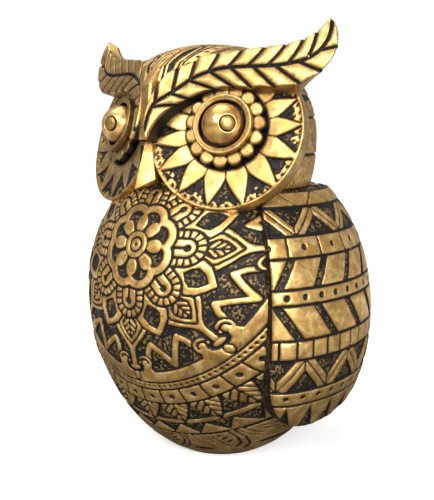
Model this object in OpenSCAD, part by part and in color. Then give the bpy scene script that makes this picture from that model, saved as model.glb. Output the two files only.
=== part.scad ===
// Owl figurine: an egg-shaped cast torso with a wedge-fronted head, two facial discs with
// bezelled eyes, two brow plumes, a beak, two wings and a tail, pinned together and closed
// underneath with a plug and a felt pad. Z is up, the owl faces -Y, millimetres.

/* [Torso] */
// Largest radius of the torso
torso_r = 49.5; // [46:0.5:51]
// Height of the torso's widest ring
torso_mid_z = 60; // [56:0.5:64]
// Wall thickness of the hollow castings
wall = 6; // [5:0.5:7]

/* [Head] */
// Largest radius of the head
head_r = 37; // [36:0.5:38]
// Height of the joint between torso and head
neck_z = 97; // [96:0.5:98]
// Height of the crown
crown_z = 145.5; // [144:0.5:147]

/* [Face] */
// Radius of each facial disc
disc_r = 26; // [25:0.1:26.3]
// Thickness of each facial disc
disc_t = 6; // [5:0.5:7]
// Turn of each facial disc away from straight ahead
face_turn = 20.5; // [18:0.5:23]
// Backward lean of each facial disc
face_lean = 18; // [15:0.5:20]
// How far the brow plumes stand in front of the discs
plume_t = 5; // [4:0.5:6]
// Number of scallops round each eye
scallops = 15; // [11:1:19]

/* [Wings] */
// Largest radius of the wings' outer surface
wing_r = 54.4; // [53.6:0.2:55.6]
// Angle of a wing's front edge, from straight ahead
wing_front = 57; // [55:1:60]
// Angle of a wing's back edge, from straight ahead
wing_back = 150; // [145:1:153]

/* [Base] */
// Thickness of the felt pad
felt_t = 1.5; // [1:0.1:2]
// Radius of the felt pad
felt_r = 19; // [17:0.5:20]

/* [Hidden] */
$fn = 96;
gold = "goldenrod";
pin_colour = "silver";
big = 200;                          // half-spaces are cubes of this side
torso_up = 52;                      // half-height of the egg above its widest ring
torso_down = 65;                    // and below it
wing_mid_z = 50;
wing_up = 61.4;
wing_down = 57;
wing_y = 1.5;                       // the wings' axis is this far behind the torso's
wing_power = 2.15;
wing_top_z = 96;
wing_middle = (wing_front + wing_back) / 2;
wing_tip = [80, 17.5];              // angle and height of a wing's lowest point
head_y = -5;
head_mid_z = 112;
head_power = 2.3;                   // 2 is an ellipse, and more is squarer
plug_r = 15;
plug_t = 6;
spigot_r = 12;
spigot_len = 7;
glue_gap = 0.1;                     // clearance round the head's spigot
face_centre = [24.4, -25.1, 116.3];   // middle of the left disc's front face
disc_at = [-1.2, 0];                // middle of the disc's rim on the face
eye_at = [-1, 1];                   // middle of the eye on the face
crown_lap = 5.5;                    // the crown reaches this far in front of the discs' faces
cup_r = 9.9;
cup_in_r = 7.8;
cup_h = 4.2;
cup_floor = 1;
collar_t = 1.7;
scallop_r = 2.35;
scallop_ring_r = 11.2;
eyeball_r = 6.8;
eyeball_up = 2.2;                   // height of the eyeball's centre over the disc
stem_r = 3;
stem_depth = 13;
pupil_r = 2.3;
pupil_groove = 0.35;
gaze_turn = 33;                     // both pupils look this far to the owl's left
gaze_drop = 10;                     // and this far down
bridge_half_w = 2.5;
face_gap = 1.2;                     // half the slot between the two discs
beak_pin_z = 102;
bridge_pin_z = 124;
pin_r = 1.5;
disc_pin_at = [-2, -9];
plume_pins_at = [[-8, 17], [6, 19]];
wing_pins_z = [64, 36];
tail_pins_z = [36, 22];
tail_r = 53;

// ---- outlines ------------------------------------------------------------------------------
function egg_r(z, r, mid, up, down, power = 2) =
    let (t = abs(z - mid) / (z > mid ? up : down)) r * pow(max(0, 1 - pow(t, power)), 1 / power);

// Half profile of an egg between two heights, closed on the axis; steps bunch towards a pole.
function egg_half(r, mid, up, down, z0, z1, power = 2, steps = 28) =
    let (a0 = asin(max(-1, (z0 - mid) / (z0 > mid ? up : down))),
         a1 = asin(min(1, (z1 - mid) / (z1 > mid ? up : down))))
    concat([[0, z0]],
           [for (i = [0:steps])
                let (a = a0 + (a1 - a0) * i / steps,
                     z = mid + sin(a) * (a > 0 ? up : down))
                if (egg_r(z, r, mid, up, down, power) > 0.01)
                    [egg_r(z, r, mid, up, down, power), z]],
           [[0, z1]]);

function bezier(a, b, c, d, steps = 12) =
    [for (i = [0:steps - 1]) let (t = i / steps, s = 1 - t)
        s * s * s * a + 3 * s * s * t * b + 3 * s * t * t * c + t * t * t * d];

// Outline of a brow plume on the face plane: inner edge, top edge, outer edge, lower edge.
plume_outline = concat(
    bezier([-25.4, -5.2], [-24.5, 4], [-22, 20], [-14, 23.4]),
    bezier([-14, 23.4], [2, 26.5], [22, 26], [31.3, 34]),
    bezier([31.3, 34], [35.5, 30], [34, 17], [24.5, 13.5]),
    bezier([24.5, 13.5], [8, 11.5], [-8, 14], [-25.4, -5.2], 16));

// What a disc and its plume take away from the head: all below the plume's top edge.
under_plume = concat([[-32, -big], [-32, 15]], [for (p = plume_outline) if (p.y > 15 && p.x < 25) p],
                     [[31.3, 34], [big, 34], [big, -big]]);

// ---- shared solids -------------------------------------------------------------------------
module egg(r, mid, up, down, z0, z1, power = 2) {
    rotate_extrude($fn = 128) polygon(egg_half(r, mid, up, down, z0, z1, power));
}

module torso_solid() {
    egg(torso_r, torso_mid_z, torso_up, torso_down, felt_t, neck_z);
}

// Places children on the left face plane: X outward across the face, Y up it, Z out of it.
module on_face(at = [0, 0]) {
    translate(face_centre) rotate([90 - face_lean, 0, face_turn]) translate([at.x, at.y, 0])
        children();
}

// Places children with their Z along a radius of the torso, at an angle from straight ahead.
module on_radius(angle, z, r) {
    rotate([0, 0, angle - 90]) translate([r, 0, z]) rotate([0, 90, 0]) children();
}

module pin(length, r = pin_r) {
    translate([0, 0, -length / 2]) cylinder(h = length, r = r, $fn = 32);
}

module both_sides() {
    children();
    mirror([1, 0, 0]) children();
}

// ---- pins and their holes ------------------------------------------------------------------
module wing_pins_left() {
    for (z = wing_pins_z)
        on_radius(wing_middle, z, egg_r(z, torso_r, torso_mid_z, torso_up, torso_down)) pin(5);
}

module wing_pins() {
    color(pin_colour) both_sides() wing_pins_left();
}

module tail_pins() {
    color(pin_colour) for (z = tail_pins_z)
        on_radius(180, z, egg_r(z, torso_r, torso_mid_z, torso_up, torso_down)) pin(6);
}

module disc_pins() {
    color(pin_colour) both_sides() on_face(disc_pin_at) translate([0, 0, -disc_t]) pin(8);
}

module plume_pins() {
    color(pin_colour) both_sides() for (at = plume_pins_at)
        on_face(at) translate([0, 0, -disc_t]) pin(9);
}

// The face's two planes meet in an upright edge; this is its depth at a height.
function face_edge_y(z, depth = disc_t) =
    face_centre.y + (depth + face_centre.x * -sin(face_turn) * cos(face_lean)
    + (z - face_centre.z) * sin(face_lean)) / (cos(face_turn) * cos(face_lean));

module beak_pin() {
    color(pin_colour) translate([0, face_edge_y(beak_pin_z), beak_pin_z]) rotate([90, 0, 0]) pin(9);
}

module bridge_pin() {
    color(pin_colour) translate([0, face_edge_y(bridge_pin_z), bridge_pin_z])
        rotate([90, 0, 0]) pin(12);
}

module eye_stem(extra = 0) {
    on_face(eye_at) translate([0, 0, -stem_depth - extra])
        cylinder(h = stem_depth + cup_floor + extra, r = stem_r, $fn = 48);
}

// ---- torso and base ------------------------------------------------------------------------
module torso_cavity() {
    egg(torso_r - wall, torso_mid_z, torso_up - wall, torso_down - wall,
        felt_t + plug_t, neck_z - wall);
}

module torso() {
    color(gold) difference() {
        torso_solid();
        torso_cavity();
        translate([0, 0, felt_t - 1]) cylinder(h = plug_t + 2, r = plug_r);
        translate([0, 0, neck_z - wall - 1]) cylinder(h = wall + 2, r = spigot_r);
        wing_pins();
        tail_pins();
    }
}

module base_plug() {
    color("dimgray") translate([0, 0, felt_t]) cylinder(h = plug_t, r = plug_r);
}

module felt_pad() {
    color("black") cylinder(h = felt_t, r = felt_r);
}

// ---- head ----------------------------------------------------------------------------------
module head_solid() {
    difference() {
        translate([0, head_y, 0])
            egg(head_r, head_mid_z, crown_z - head_mid_z, head_r, neck_z, crown_z, head_power);
        both_sides() {
            on_face() translate([0, 0, -disc_t]) linear_extrude(big) polygon(under_plume);
            on_face() translate([-big / 2, -big / 2, crown_lap]) cube(big);
            disc_blank();
        }
    }
}

module head() {
    color(gold) difference() {
        union() {
            head_solid();
            translate([0, 0, neck_z - spigot_len])
                cylinder(h = spigot_len + 1, r = spigot_r - glue_gap);
        }
        translate([0, 4, 0]) egg(21, 118, 20, 16, 103, 137);
        translate([0, 0, neck_z - spigot_len - 1]) cylinder(h = 20, r = spigot_r - wall);
        both_sides() eye_stem();
        disc_pins();
        plume_pins();
        beak_pin();
        bridge_pin();
    }
}

// A keel between the plumes, chamfered back onto the crown.
module brow_bridge() {
    color(gold) difference() {
        rotate([90, 0, 90]) translate([0, 0, -bridge_half_w]) linear_extrude(2 * bridge_half_w)
            polygon([[-39.6, 113], [-37.4, 131], [-33.6, 135.5], [-28, 138], [-18, 138], [-18, 113]]);
        head_solid();
        both_sides() disc_blank();
        bridge_pin();
    }
}

// A beak with a ridge down its front: an upright outline cut by two planes that meet in it.
module beak() {
    root = [0, -38, 113];
    lean = 19;
    color(gold) difference() {
        intersection() {
            rotate([90, 0, 0]) linear_extrude(60)
                polygon([[-1.1, root.z], [-4.2, 100.6], [0, 97.2], [4.2, 100.6], [1.1, root.z]]);
            translate(root) rotate([-lean, 0, 0]) translate([0, 0, -30]) linear_extrude(60)
                polygon([[0, 0], [20, 21], [-20, 21]]);
        }
        head_solid();
        both_sides() disc_blank();
        beak_pin();
    }
}

// ---- face ----------------------------------------------------------------------------------
module disc_blank() {
    difference() {
        on_face(disc_at) translate([0, 0, -disc_t]) cylinder(h = disc_t, r = disc_r, $fn = 128);
        translate([face_gap - big, -big / 2, 0]) cube(big);
    }
}

module facial_disc() {
    color(gold) difference() {
        disc_blank();
        torso_solid();
        eye_stem();
        on_face(disc_pin_at) translate([0, 0, -disc_t]) pin(8);
    }
}

module scallop_ring(grow = 0) {
    cylinder(h = collar_t + grow, r = scallop_ring_r + 0.6 + grow);
    for (i = [0:scallops - 1]) rotate([0, 0, i * 360 / scallops])
        translate([scallop_ring_r, 0, 0]) cylinder(h = collar_t + grow, r = scallop_r + grow, $fn = 32);
}

module eye_collar() {
    color(gold) on_face(eye_at) difference() {
        scallop_ring();
        translate([0, 0, -1]) cylinder(h = collar_t + 2, r = cup_r);
    }
}

module eye_cup() {
    color(gold) on_face(eye_at) difference() {
        cylinder(h = cup_h, r = cup_r);
        translate([0, 0, cup_floor]) cylinder(h = cup_h, r = cup_in_r);
        translate([0, 0, -1]) cylinder(h = cup_h, r = stem_r, $fn = 48);
    }
}

// Axis of a pupil: out of the eyeball's centre, to the owl's left and down. side is 1 or -1.
module pupil_axis(side) {
    translate([eye_at.x, eye_at.y, eyeball_up]) rotate([gaze_drop, side * gaze_turn, 0]) children();
}

module pupil_blank(side, grow = 0) {
    on_face() pupil_axis(side) translate([0, 0, eyeball_r - 1.6 - grow])
        cylinder(h = 1.9 + 2 * grow, r = pupil_r + grow, $fn = 48);
}

module eyeball(side) {
    color(gold) difference() {
        union() {
            on_face(eye_at) intersection() {
                translate([0, 0, eyeball_up]) sphere(r = eyeball_r, $fn = 96);
                translate([0, 0, cup_floor]) cylinder(h = 20, r = eyeball_r + 1);
            }
            eye_stem();
        }
        pupil_blank(side, pupil_groove);
    }
}

// A small stud that stands in its pocket with a groove round it.
module pupil(side) {
    color(gold) pupil_blank(side);
    color(gold) on_face() pupil_axis(side)
        translate([0, 0, eyeball_r - 1.6 - pupil_groove])
            cylinder(h = pupil_groove, r = pupil_r, $fn = 48);
}

// A thick brow that laps over the disc, the collar and the cup, and thins towards its tip.
module brow_plume() {
    color(gold) difference() {
        on_face() translate([0, 0, -disc_t]) linear_extrude(disc_t + plume_t) polygon(plume_outline);
        disc_blank();
        on_face(eye_at) translate([0, 0, -0.01]) scallop_ring(0.05);
        on_face(eye_at) translate([0, 0, -0.01]) cylinder(h = cup_h + 0.1, r = cup_r + 0.05);
        on_face([17, 15]) rotate([90, 0, 90]) linear_extrude(30)
            polygon([[0, -disc_t - 1], [0, -disc_t], [21, plume_t - 3], [21, -disc_t - 1]]);
        translate([bridge_half_w - big, -big / 2, 0]) cube(big);
        on_face(plume_pins_at[0]) translate([0, 0, -disc_t]) pin(9);
        on_face(plume_pins_at[1]) translate([0, 0, -disc_t]) pin(9);
    }
}

// ---- wings and tail ------------------------------------------------------------------------
function wing_r_at(z) = egg_r(z, wing_r, wing_mid_z, wing_up, wing_down, wing_power);

// A wing's lower edge as angle and height, then as seen along the direction of its tip.
wing_edge = concat(
    bezier([wing_front, 36], [wing_front, 24], [66, wing_tip.y], wing_tip),
    bezier(wing_tip, [100, wing_tip.y], [132, 25], [wing_back + 1, 50], 14),
    [[wing_back + 1, 50]]);
wing_outline = concat(
    [for (p = wing_edge) [wing_r_at(p.y) * sin(p.x - wing_tip.x), p.y]],
    [[big / 2, 50], [big / 2, 100], [-big / 2, 100], [-big / 2, 36]]);

module wing_sector() {
    rotate([0, 0, -90]) linear_extrude(wing_top_z) polygon(concat([[0, 0]],
        [for (a = [wing_front, wing_middle - 15, wing_middle + 15, wing_back])
            100 * [cos(a), sin(a)]]));
}

module wing() {
    color(gold) difference() {
        intersection() {
            translate([0, wing_y, 0])
                egg(wing_r, wing_mid_z, wing_up, wing_down, 2, wing_top_z, wing_power);
            wing_sector();
            rotate([0, 0, wing_tip.x - 90]) rotate([90, 0, 90]) linear_extrude(big)
                polygon(wing_outline);
        }
        torso_solid();
        wing_pins_left();
    }
}

// A short tail that fills the gap between the wings at the back.
tail_outline = concat(
    [[13, 50], [-13, 50]],
    bezier([-13, 50], [-16, 35], [-19, 24], [-14, 12], 10),
    bezier([-14, 12], [-9, 5], [9, 5], [14, 12], 12),
    bezier([14, 12], [19, 24], [16, 35], [13, 50], 10));

module tail() {
    color(gold) difference() {
        intersection() {
            egg(tail_r, wing_mid_z, wing_up, wing_down, 2, 60, wing_power);
            translate([0, big, 0]) rotate([90, 0, 0]) linear_extrude(big) polygon(tail_outline);
        }
        torso_solid();
        tail_pins();
    }
}

module right() {
    mirror([1, 0, 0]) children();
}

torso();
base_plug();
felt_pad();
head();
brow_bridge();
beak();
facial_disc();  // left_facial_disc
right() facial_disc();  // right_facial_disc
brow_plume();  // left_brow_plume
right() brow_plume();  // right_brow_plume
eye_collar();  // left_eye_collar
right() eye_collar();  // right_eye_collar
eye_cup();  // left_eye_cup
right() eye_cup();  // right_eye_cup
eyeball(1);  // left_eyeball
right() eyeball(-1);  // right_eyeball
pupil(1);  // left_pupil
right() pupil(-1);  // right_pupil
wing();  // left_wing
right() wing();  // right_wing
tail();
wing_pins();
disc_pins();
plume_pins();
beak_pin();
bridge_pin();
tail_pins();
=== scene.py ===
"""Owl figurine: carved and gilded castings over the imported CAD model.

Lengths are millimetres until a mesh is made. The owl faces -Y and its left side is on +X. Each carved
piece is a grid over its casting's smooth surface. A pattern gives every grid point its depth inside a
gilded area (gilt > 0) or a groove (gilt < 0); the mesh is carved by it, and the paint follows it through
the "gilt" attribute.
"""
import math
import bmesh
import bpy
import numpy as np
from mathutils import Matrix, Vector


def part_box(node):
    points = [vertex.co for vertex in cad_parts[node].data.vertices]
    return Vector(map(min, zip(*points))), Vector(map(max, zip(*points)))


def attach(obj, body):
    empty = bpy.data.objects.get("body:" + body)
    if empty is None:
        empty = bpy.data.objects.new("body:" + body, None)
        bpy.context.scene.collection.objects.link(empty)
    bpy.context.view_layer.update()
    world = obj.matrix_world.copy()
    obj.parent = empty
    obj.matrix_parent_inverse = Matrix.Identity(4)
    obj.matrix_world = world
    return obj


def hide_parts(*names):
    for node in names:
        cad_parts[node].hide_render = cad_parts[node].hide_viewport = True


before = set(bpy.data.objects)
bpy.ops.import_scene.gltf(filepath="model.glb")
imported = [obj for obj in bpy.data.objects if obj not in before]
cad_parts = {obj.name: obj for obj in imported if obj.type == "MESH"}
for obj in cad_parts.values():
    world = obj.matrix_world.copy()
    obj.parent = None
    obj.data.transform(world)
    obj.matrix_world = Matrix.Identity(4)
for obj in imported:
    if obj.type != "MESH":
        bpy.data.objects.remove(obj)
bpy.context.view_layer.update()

MM = 0.001
FINE = 0.45  # distance between grid points
GROOVE = 0.75  # depth of the carving

# ---- the castings' surfaces, as in the CAD model ---------------------


class Egg:
    """A surface of revolution round an upright axis: elliptic above and below its widest ring, or squarer."""

    def __init__(self, radius, mid, up, down, axis_y=0.0, power=2.0):
        self.widest, self.mid, self.up, self.down = radius, mid, up, down
        self.axis_y, self.power = axis_y, power
        z = np.linspace(mid - down, mid + up, 4001)
        r = self.radius(z)
        self.table_z = z
        self.table_arc = np.concatenate([[0.0], np.cumsum(np.hypot(np.diff(z), np.diff(r)))])

    def radius(self, z):
        t = np.abs(z - self.mid) / np.where(z > self.mid, self.up, self.down)
        return self.widest * np.maximum(0.0, 1 - t**self.power) ** (1 / self.power)

    def arc(self, z):
        """Distance along the profile from the bottom pole to a height."""
        return np.interp(z, self.table_z, self.table_arc)

    def height(self, arc):
        return np.interp(arc, self.table_arc, self.table_z)

    def point(self, angle, z, inwards=0.0):
        """Points at angles (degrees from straight ahead) and heights, moved inwards along the normal."""
        d = 0.05
        slope = np.clip((self.radius(z + d) - self.radius(z - d)) / (2 * d), -8.0, 8.0)
        length = np.hypot(1.0, slope)
        r = self.radius(z) - inwards / length
        z = z + inwards * slope / length
        a = np.radians(angle)
        return np.stack([r * np.sin(a), self.axis_y - r * np.cos(a), z], axis=-1)


TORSO = Egg(49.5, 60.0, 52.0, 65.0)
WING = Egg(54.4, 50.0, 61.4, 57.0, axis_y=1.5, power=2.15)
TAIL = Egg(53.0, 50.0, 61.4, 57.0, power=2.15)
HEAD = Egg(37.0, 112.0, 33.5, 37.0, axis_y=-5.0, power=2.3)
BASE_Z, NECK_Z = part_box("torso")[0][2] / MM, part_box("head")[0][2] / MM + 7.0
FACE_TURN, FACE_LEAN = 20.5, 18.0
FACE_CENTRE = np.array([24.4, -25.1, 116.3])
DISC_R, DISC_T, PLUME_T = 26.0, 6.0, 5.0
DISC_AT = np.array([-1.2, 0.0])  # middle of the disc's rim
FACE_GAP = 0.8  # the discs stop this far from the middle of the face
EYE = np.array([-1.0, 1.0])
GAZE_TURN, GAZE_DROP = 33.0, 10.0


class Face:
    """The plane of a facial disc: u runs outwards, v up it and h out of it. side is 1 for the left."""

    def __init__(self, side):
        turn, lean = math.radians(FACE_TURN), math.radians(FACE_LEAN)
        ahead = np.array([math.sin(turn), -math.cos(turn), 0.0])
        flip = np.array([side, 1.0, 1.0])
        self.side = side
        self.origin = FACE_CENTRE * flip
        self.u = np.array([math.cos(turn), math.sin(turn), 0.0]) * flip
        self.v = (np.array([0, 0, 1.0]) * math.cos(lean) - ahead * math.sin(lean)) * flip
        self.n = (ahead * math.cos(lean) + np.array([0, 0, 1.0]) * math.sin(lean)) * flip

    def point(self, u, v, h):
        u, v, h = np.broadcast_arrays(u, v, h)
        return self.origin + u[..., None] * self.u + v[..., None] * self.v + h[..., None] * self.n

    def polar(self, centre, r, angle, h):
        return self.point(centre[0] + r * np.cos(angle), centre[1] + r * np.sin(angle), h)


# ---- signed distances: positive inside a shape -----------------------


def slab(t, low, high):
    return np.minimum(t - low, high - t)


def both(*fields):
    return np.minimum.reduce(np.broadcast_arrays(*fields))


def either(*fields):
    return np.maximum.reduce(np.broadcast_arrays(*fields))


def dot(x, y, cx, cy, r):
    return r - np.hypot(x - cx, y - cy)


def oval(x, y, cx, cy, rx, ry):
    """Near enough a signed distance for a nearly round oval."""
    return (1 - np.hypot((x - cx) / rx, (y - cy) / ry)) * min(rx, ry)


def to_segment(x, y, a, b):
    dx, dy = b[0] - a[0], b[1] - a[1]
    t = np.clip(((x - a[0]) * dx + (y - a[1]) * dy) / max(dx * dx + dy * dy, 1e-12), 0, 1)
    return np.hypot(x - a[0] - t * dx, y - a[1] - t * dy)


def to_path(x, y, path):
    """Distance to the nearest point of a polyline."""
    return np.minimum.reduce([to_segment(x, y, a, b) for a, b in zip(path, path[1:])])


def inside(x, y, outline):
    """Signed distance to a closed outline."""
    outline = [tuple(p) for p in outline]
    crossings = np.zeros(np.shape(x), dtype=bool)
    for a, b in zip(outline, outline[1:] + outline[:1]):
        if a[1] == b[1]:
            continue
        spans = (a[1] > y) != (b[1] > y)
        crossings ^= spans & (x < (b[0] - a[0]) * (y - a[1]) / (b[1] - a[1]) + a[0])
    return np.where(crossings, 1.0, -1.0) * to_path(x, y, outline + outline[:1])


def fold(angle, count, at=0.0):
    """Angle in degrees from the nearest of count evenly spaced axes, one of them at an angle."""
    step = 360.0 / count
    return (angle - at + step / 2) % step - step / 2


def near(t, pitch, at=0.0):
    """Signed distance from the nearest of evenly spaced positions."""
    return (t - at + pitch / 2) % pitch - pitch / 2


def smooth_curve(points, fineness=8):
    """A Catmull-Rom curve through points."""
    p = np.asarray(points, float)
    p = np.vstack([2 * p[0] - p[1], p, 2 * p[-1] - p[-2]])
    t = np.linspace(0, 1, fineness, endpoint=False)[:, None]
    pieces = []
    for a, b, c, d in zip(p, p[1:], p[2:], p[3:]):
        bend, twist = 2 * a - 5 * b + 4 * c - d, 3 * b - a - 3 * c + d
        pieces.append(0.5 * (2 * b + (c - a) * t + bend * t**2 + twist * t**3))
    return np.vstack(pieces + [p[-2:-1]])


def along(curve, count):
    """The curve's points at evenly spaced distances."""
    s = np.concatenate([[0], np.cumsum(np.hypot(*np.diff(curve, axis=0).T))])
    t = np.linspace(0, s[-1], count)
    return np.stack([np.interp(t, s, curve[:, 0]), np.interp(t, s, curve[:, 1])], axis=-1)


def mirrored(half):
    """A closed outline from its upper half, which starts and ends on the axis."""
    return list(half) + [(x, -y) for x, y in half[::-1][1:-1]]


# ---- patterns --------------------------------------------------------

LOBE_AT, LOBE_R, LOBE_BAND = 8.6, 6.2, 2.6
LOOP_END, LOOP_R = 18.3, 2.75
RING_IN, RING_OUT = 43.2, 46.9


def flower(r, ax, ay, bx, by):
    """Button, eight petals and the scalloped ring round them."""
    button = either(slab(r, 0.55, 2.0), slab(r, 2.7, 4.4))
    petal_half = smooth_curve([(4.95, 0), (5.0, 1.35), (7.3, 2.2), (9.2, 1.9), (10.2, 0.75), (10.3, 0)])
    petals = inside(ax, ay, mirrored([tuple(p) for p in petal_half]))
    outer = dot(bx, by, LOBE_AT, 0, LOBE_R)
    valley_r = LOBE_AT * math.cos(math.pi / 8) + math.sqrt(LOBE_R**2 - (LOBE_AT * math.sin(math.pi / 8)) ** 2)
    hole = both(
        either(dot(bx, by, LOBE_AT, 0, LOBE_R - LOBE_BAND), 9.9 - r),
        -dot(ax, ay, valley_r, 0, LOBE_BAND))
    return either(button, petals, both(outer, -hole)), outer


def loops(ax, ay):
    """Keyhole loops and the arches of rungs round them."""
    d = to_segment(ax, ay, (10.0, 0), (LOOP_END, 0))
    keyhole = either(both(0.42 - np.abs(ay), LOOP_END + 0.3 - ax), dot(ax, ay, LOOP_END + 0.3, 0, 1.1))
    loop = both(LOOP_R - d, -keyhole)
    arch_r = LOOP_R + 1.85
    run = np.where(ax < LOOP_END, ax - LOOP_END, arch_r * np.arctan2(ax - LOOP_END, np.abs(ay)))
    rungs = both(slab(d, LOOP_R + 0.75, LOOP_R + 2.95), np.abs(near(run, 2.06)) - 0.3)
    return either(loop, rungs), LOOP_R + 2.95 - d


def kites(bx, by):
    half = [(15.6, 0), (18.5, 1.7), (21.5, 3.9), (23.8, 5.9), (26.6, 4.9), (29.2, 2.5), (31.2, 0)]
    hole = [(20.4, 0), (22.2, 2.2), (24.0, 3.3), (26.6, 2.3), (28.8, 0)]
    outer = inside(bx, by, mirrored(half))
    return both(outer, -inside(bx, by, mirrored(hole))), outer


def buds(ax, ay):
    """Veined leaves inside two pointed bands; the outer one ends in a stem with a knot and a bead."""
    leaf = inside(ax, ay, mirrored([(24.2, 0), (25.0, 1.9), (26.8, 2.7), (28.8, 1.9), (30.9, 0)]))
    veins = either(0.28 - np.abs(ay), 0.28 - np.abs(near(ax - 0.9 * np.abs(ay), 2.1, 0.6)) * 0.74)
    inner_half = [(20.5, 0), (21.5, 3.4), (24.4, 4.8), (27.5, 4.7), (30.6, 2.5), (33.2, 0)]
    inner = inside(ax, ay, mirrored(inner_half))
    half = smooth_curve([(24.0, 6.9), (27.3, 7.0), (30.4, 5.0), (33.0, 2.6), (35.4, 1.15), (38.2, 0.95)])
    outer = inside(ax, ay, [(18.0, 0), (18.0, 5.0)] + [tuple(p) for p in half]
                   + [(40.6, 0.95), (40.6, -0.95)] + [(x, -y) for x, y in half[::-1]] + [(18.0, -5.0)])
    bands = either(both(outer, -inner - 0.65), both(inner, -leaf - 0.65))
    knot = either(oval(ax, ay, 41.7, 0, 0.85, 2.1), oval(ax, ay, 44.9, 0, 1.5, 1.15))
    return either(both(leaf, -veins), bands, knot), either(outer, oval(ax, ay, 41.7, 0, 1.4, 2.7))


def scrolls(ax, ay):
    """A curl on each side of the stem, joined to the ring."""
    y = np.abs(ay)
    cx, cy = 39.6, 4.5
    d = np.hypot(ax - cx, y - cy)
    turn = np.degrees(np.arctan2(y - cy, ax - cx))
    hook = both(0.32 - np.abs(d - 1.45), -slab(turn, -20, 75))
    mouth = 0.32 - to_path(ax, y, [(cx - 1.4, cy - 0.2), (cx - 0.6, cy - 2.6), (cx + 1.5, cy - 3.2)])
    foot = inside(ax, y, [(40.6, 2.6), (40.3, 6.2), (43.8, 8.4), (43.8, 2.2)])
    return both(either(2.7 - d, foot), -either(hook, mouth)), either(3.3 - d, foot)


def zigzags(bx, by):
    y = np.abs(by)
    path = smooth_curve([(41.6, 0), (36.9, 2.5), (32.9, 5.1)], 5).tolist() + [(35.0, 7.3), (38.4, 9.0)]
    return 0.95 - to_path(bx, y, path)


def mandala(x, y):
    """The eight-fold medallion out to its plain ring."""
    r = np.hypot(x, y)
    theta = np.degrees(np.arctan2(y, x))
    a, b = np.radians(fold(theta, 8)), np.radians(fold(theta, 8, 22.5))
    ax, ay, bx, by = r * np.cos(a), r * np.sin(a), r * np.cos(b), r * np.sin(b)
    centre, centre_out = flower(r, ax, ay, bx, by)
    arches, arches_out = loops(ax, ay)
    kite, kite_out = kites(bx, by)
    bud, bud_out = buds(ax, ay)
    curl, curl_out = scrolls(ax, ay)
    arches = both(arches, -centre_out - 0.8)
    front = either(centre_out, arches_out)
    kite = both(kite, -front - 0.75)
    bud = both(bud, -either(front, kite_out) - 0.7)
    behind = either(front, kite_out, bud_out)
    curl = both(curl, -bud_out - 0.55)
    zigzag = both(zigzags(bx, by), -behind - 0.6, either(-curl_out, curl))
    ring = both(slab(r, RING_IN, RING_OUT), -oval(ax, ay, 44.9, 0, 2.1, 1.7), -bud_out - 0.55)
    return either(centre, arches, kite, bud, curl, zigzag, ring)


def borders(r, theta):
    """The rows that follow the medallion's ring down to the base."""
    def across(count, at=-90.0):
        return r * np.radians(fold(theta, count, at))

    pins = both(slab(r, 47.5, 49.6), -dot(r, across(147), 48.5, 0, 0.45))
    squares = both(slab(r, 50.3, 55.5), -dot(r, across(42, -85.71), 52.9, 0, 0.9), np.abs(across(42)) - 0.33)
    leaf_across = across(32)
    taper = 5.0 * np.clip(1 - np.clip((r - 56.3) / 8.1, 0, 1) ** 1.5, 0, 1)
    leaves = both((taper - np.abs(leaf_across)) * 0.85, slab(r, 56.2, 64.4))
    barb = near(r - 0.9 * np.abs(leaf_across), 2.7, 57.4)
    veins = either(0.27 - np.abs(leaf_across), 0.27 - 0.74 * np.abs(barb))
    rails = both(slab(r, 63.3, 64.8), -leaves - 0.5)
    teeth_width = (r - 65.5) / 4.9 * 70 * math.radians(4.0)
    teeth = both((teeth_width - np.abs(across(45, -81.0))) * 0.7, slab(r, 65.5, 70.5))
    scallop_across = across(26, -75.5)
    scallop_half = [(71.3, 0), (71.3, 6.3), (75.5, 6.2), (79.5, 4.0), (82.6, 0)]
    scallop = inside(r, scallop_across, mirrored(scallop_half))
    ticks = either(0.3 - to_segment(r, scallop_across, (73.0, 0), (80.5, 0)),
                   both(0.36 - 0.8 * np.abs(near(r + 0.5 * np.abs(scallop_across), 2.2, 74.0)),
                        slab(np.abs(scallop_across), 1.3, 3.9), slab(r, 72.6, 78.6)))
    bands = either(0.3 - np.abs(scallop), 0.26 - np.abs(scallop + 1.9))
    lens = oval(r, across(26, -75.5 + 180 / 26), 82.2, 0, 1.4, 3.4)
    foot = both(r - 71.1, -ticks, -bands, -lens, np.abs(r - 84.6) - 0.25,
                -oval(r, across(60), 87.0, 0, 1.2, 0.6), np.abs(r - 89.8) - 0.25)
    return either(pins, squares, both(leaves, -veins), rails, teeth, foot)


MEDALLION_TURN, MEDALLION_Z = 3.2, 80.0


def torso_pattern(angle, z):
    """The medallion is carved straight into the front, and again into the back."""
    x = TORSO.radius(z) * np.sin(np.radians(angle - MEDALLION_TURN))
    y = TORSO.arc(z) - TORSO.arc(MEDALLION_Z)
    r = np.hypot(x, y)
    return np.where(r < RING_OUT + 0.3, mandala(x, y), borders(r, np.degrees(np.arctan2(y, x))))


def bars(t, z, low, high, pitch, at, lean, width):
    """Slanting bars across a band. lean is how far round the wing a bar's top is ahead of its foot."""
    across = near(t - lean * (z - low) / (high - low), pitch, at) * 0.9
    return both(width / 2 - np.abs(across), slab(z, low, high))


def chevrons(t, z, low, high, pitch, at, width):
    """A zigzag band between black triangles, split by a hairline at each corner."""
    mm = 0.85
    half = pitch / 2
    rise = np.abs(near(t, pitch, at)) / half
    middle = low + (high - low) * (1 - rise)
    slope = (high - low) / (half * mm)
    off = (z - middle) / math.hypot(1, slope)
    above = both(off - width, high - 0.4 - z)
    below = both(-off - width, z - low - 0.4)
    split = 0.28 - np.abs(near(t, half, at)) * mm * np.where(np.abs(off) < 2.2 * width, 1, 9)
    return both(slab(z, low, high), either(above, below, split, 0.25 - np.abs(off)))


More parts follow.
